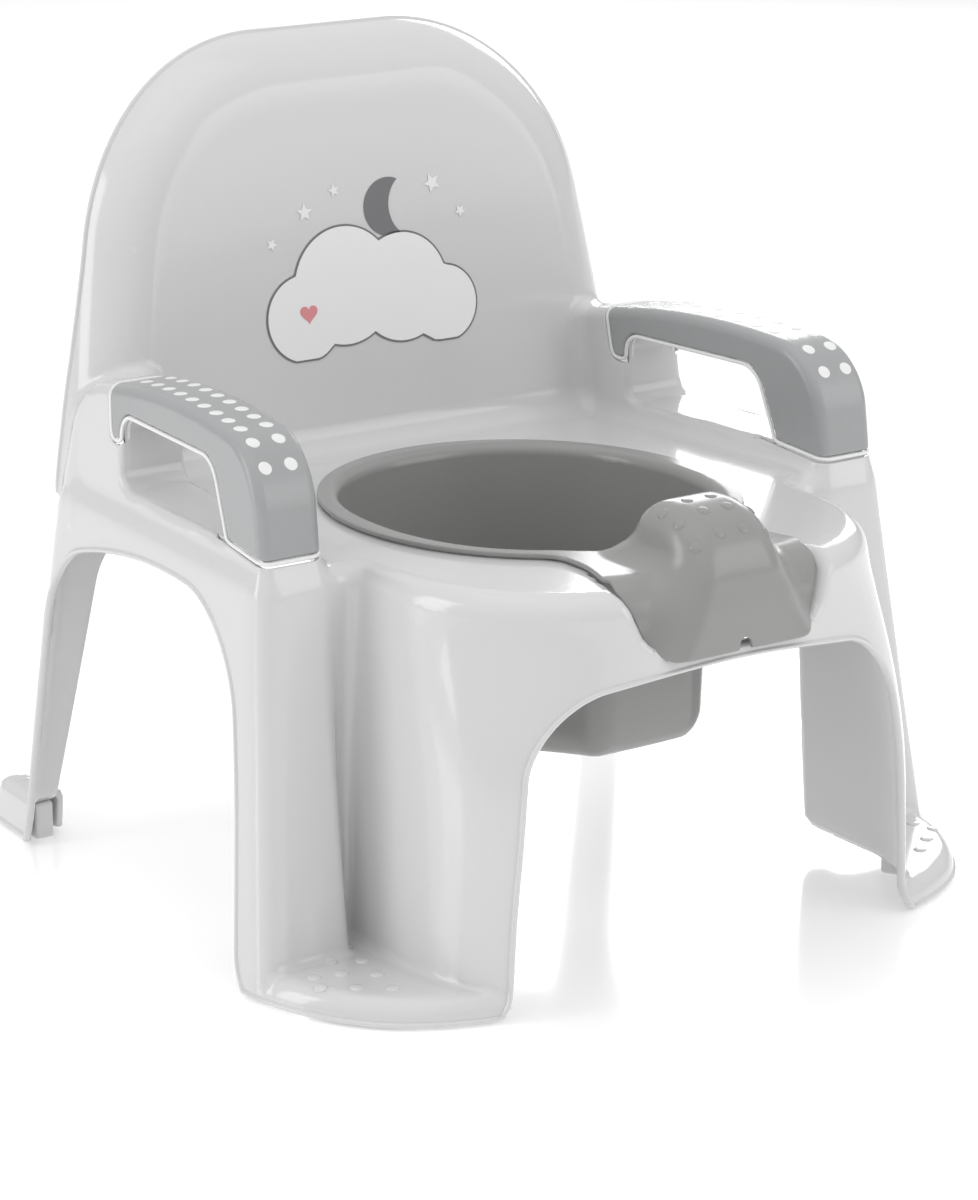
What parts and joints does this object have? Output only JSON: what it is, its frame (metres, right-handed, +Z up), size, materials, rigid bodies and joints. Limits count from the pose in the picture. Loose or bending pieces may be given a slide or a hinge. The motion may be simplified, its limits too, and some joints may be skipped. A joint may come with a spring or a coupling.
{
  "type": "potty training chair",
  "caption": "Moulded toddler potty chair with a backrest, padded arms, footrests and a lift-out bowl that has a splash guard.",
  "frame": {"origin": "centre of the footprint on the floor plane", "axes": "+Z up, the chair faces -Y, +X across to the sitter's left"},
  "size_m": [0.3514, 0.3391, 0.3489],
  "materials": {
    "shell": "glossy light grey polypropylene",
    "bowl": "satin mid grey polypropylene",
    "pad": "soft satin grey elastomer",
    "carrier": "white plastic",
    "foot": "matte dark grey rubber",
    "sticker": "printed film"
  },
  "bodies": {
    "chair": {"chair_shell": "shell", "left_arm_pad_cover": "pad", "right_arm_pad_cover": "pad", "left_arm_pad_carrier": "carrier", "right_arm_pad_carrier": "carrier", "left_front_foot": "foot", "right_front_foot": "foot", "left_rear_foot": "foot", "right_rear_foot": "foot", "back_sticker": "sticker"},
    "bowl": {"potty_bowl": "bowl"}
  },
  "joints": [
    {"name": "bowl_lift", "type": "slide", "parent": "chair", "child": "bowl", "axis": [0, 0, 1], "range_m": [0, 0.16]}
  ]
}
